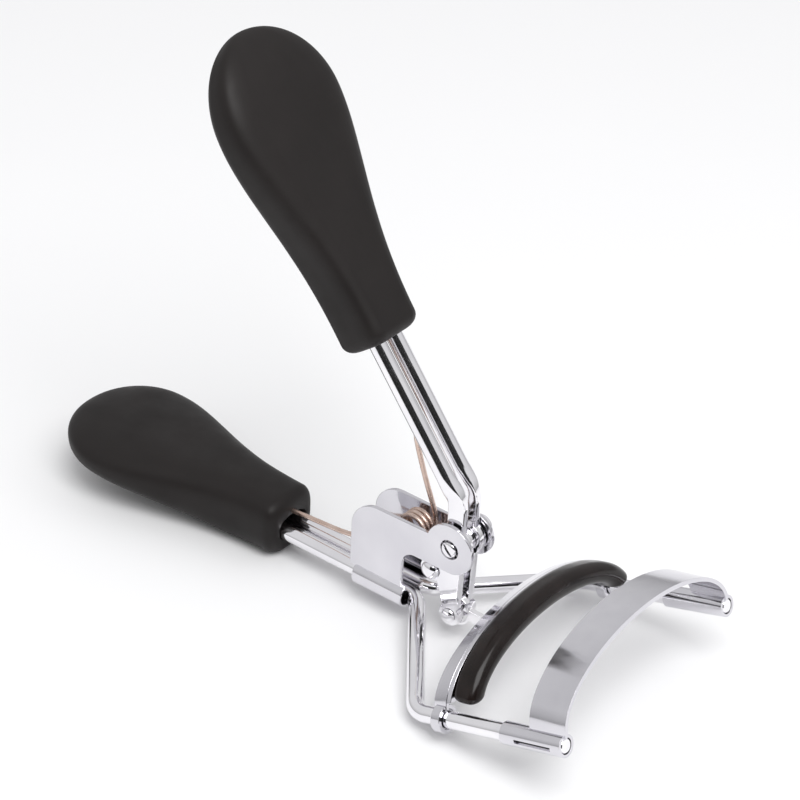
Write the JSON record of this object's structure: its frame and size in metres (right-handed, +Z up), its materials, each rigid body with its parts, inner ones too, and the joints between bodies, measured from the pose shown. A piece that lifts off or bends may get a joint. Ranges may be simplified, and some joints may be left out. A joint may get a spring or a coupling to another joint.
{
  "type": "eyelash curler",
  "caption": "Hand-held eyelash curler with two wire frames, a sliding padded jaw, a fixed arched plate and a sprung upper handle, both handles with soft paddle grips.",
  "frame": {"origin": "on the surface the curler rests on, under the middle of its length and width, with the upper handle fully open", "axes": "+X from the grips to the open front of the jaw, +Y across the jaw, +Z up from the lower grip's flat outer face towards the upper handle"},
  "size_m": [0.095, 0.0402, 0.0738],
  "materials": {
    "chrome": "bright nickel-chrome plated steel wire",
    "polished_sheet": "plated pressed sheet, slightly softer than the wire",
    "soft_touch": "matte black soft-touch coating",
    "silicone": "glossy dark brown-black silicone, slightly translucent",
    "spring_wire": "spring steel wire with a faint copper tint"
  },
  "bodies": {
    "frame": {"frame_wire_near": "chrome", "frame_wire_far": "chrome", "front_plate": "polished_sheet", "bracket": "polished_sheet", "pivot_screw": "chrome", "pivot_washer": "chrome", "pivot_nut": "chrome", "lower_grip": "soft_touch", "torsion_spring": "spring_wire"},
    "lever": {"lever_wire_near": "chrome", "lever_wire_far": "chrome", "pivot_spacer": "chrome", "lever_stop_pin": "chrome", "link_pin": "chrome", "upper_grip": "soft_touch"},
    "jaw": {"moving_jaw": "polished_sheet", "pad_channel": "polished_sheet", "silicone_pad": "silicone", "jaw_pin": "chrome"},
    "link": {"push_link": "polished_sheet"}
  },
  "joints": [
    {"name": "lever_hinge", "type": "hinge", "parent": "frame", "child": "lever", "pos_m": [0.01773, 0, 0.01489], "axis": [0, -1, 0], "range_deg": [0, 50], "stiffness_Nm_per_rad": 0.1, "springref_deg": -17.19, "deforming": ["torsion_spring"]},
    {"name": "jaw_slide", "type": "slide", "parent": "frame", "child": "jaw", "axis": [0.9548, 0, 0.2974], "range_m": [0, 0.0086]},
    {"name": "link_swing", "type": "hinge", "parent": "jaw", "child": "link", "pos_m": [0.02483, 0, 0.00386], "axis": [0, 1, 0], "range_deg": [0, 11]}
  ],
  "couplings": [
    {"joint": "jaw_slide", "follows": "lever_hinge", "m_per_rad": 0.009838},
    {"joint": "link_swing", "follows": "lever_hinge", "ratio": 0.2178}
  ]
}
